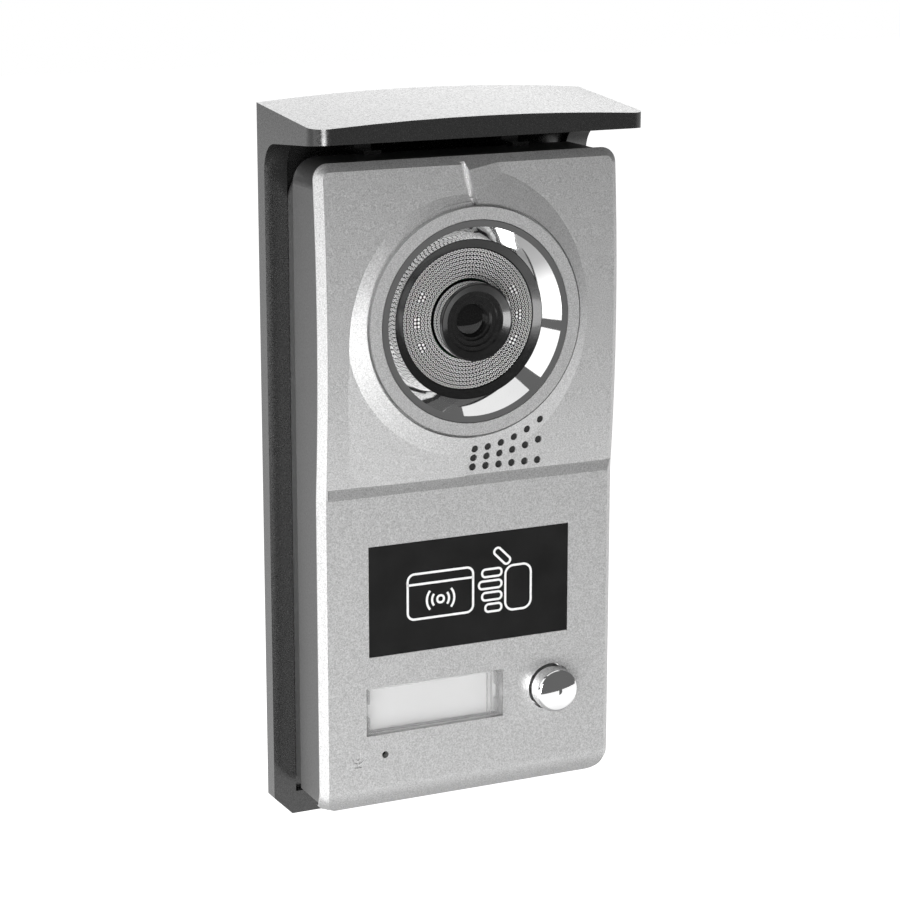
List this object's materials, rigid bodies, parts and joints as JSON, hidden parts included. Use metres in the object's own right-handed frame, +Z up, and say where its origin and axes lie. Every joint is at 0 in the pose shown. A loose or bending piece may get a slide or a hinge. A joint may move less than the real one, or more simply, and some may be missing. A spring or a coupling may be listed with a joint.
{
  "type": "door intercom panel",
  "caption": "Wall-mounted video door intercom panel with a rain hood, camera, speaker grille, card reader label, lit name plate and sprung call button.",
  "frame": {"origin": "centre of the rain hood's wall face", "axes": "+Z up, +Y into the wall, +X to the right seen from the front; the front faces -Y"},
  "size_m": [0.098, 0.0405, 0.2051],
  "materials": {
    "hood_paint": "fine metallic paint",
    "cover_paint": "silver metallic paint",
    "case_plastic": "matte",
    "chrome": "polished",
    "black_plastic": "satin",
    "crystal": "faceted",
    "lens_glass": "clear",
    "window": "clear",
    "card": "matte",
    "diffuser": "frosted",
    "label": "satin",
    "rubber": "matte",
    "board": "satin",
    "component": "matte",
    "capacitor": "satin",
    "copper": "satin",
    "terminal": "matte",
    "steel": "satin",
    "led": "clear",
    "paper": "matte"
  },
  "bodies": {
    "unit": {"rain_hood": "hood_paint", "rear_case": "case_plastic", "case_frame": "case_plastic", "front_cover": "cover_paint", "case_seal": "rubber", "case_screws": "steel", "fixing_screw": "steel", "cable_grommet": "rubber", "main_board": "board", "board_screws": "steel", "lock_relay": "component", "capacitors": "capacitor", "processor": "component", "terminal_block": "terminal", "terminal_screws": "steel", "camera_housing": "black_plastic", "housing_screws": "steel", "camera_connector": "component", "camera_board": "board", "image_sensor": "component", "lens_sleeve": "chrome", "lens_barrel": "black_plastic", "lens_retainer": "black_plastic", "front_lens": "lens_glass", "rear_lens": "lens_glass", "led_board": "board", "infrared_leds": "led", "light_sensor": "component", "crystal_disc": "crystal", "camera_bezel": "black_plastic", "chrome_reflector": "chrome", "speaker_gasket": "rubber", "speaker_frame": "steel", "speaker_cone": "paper", "speaker_magnet": "steel", "microphone_boot": "rubber", "microphone": "capacitor", "reader_label": "label", "reader_board": "board", "reader_coil": "copper", "nameplate_holder": "black_plastic", "nameplate_window": "window", "name_card": "card", "backlight_diffuser": "diffuser", "backlight_board": "board", "backlight_leds": "led", "button_guide": "black_plastic", "button_spring": "steel", "push_switch": "component"},
    "button": {"call_button": "chrome"},
    "plunger": {"switch_plunger": "black_plastic"}
  },
  "joints": [
    {"name": "button_press", "type": "slide", "parent": "unit", "child": "button", "axis": [0, 1, 0], "range_m": [0, 0.0012], "stiffness_N_per_m": 2000, "deforming": ["button_spring"]},
    {"name": "plunger_press", "type": "slide", "parent": "unit", "child": "plunger", "axis": [0, 1, 0], "range_m": [0, 0.0012]}
  ],
  "couplings": [
    {"joint": "plunger_press", "follows": "button_press", "ratio": 1}
  ]
}
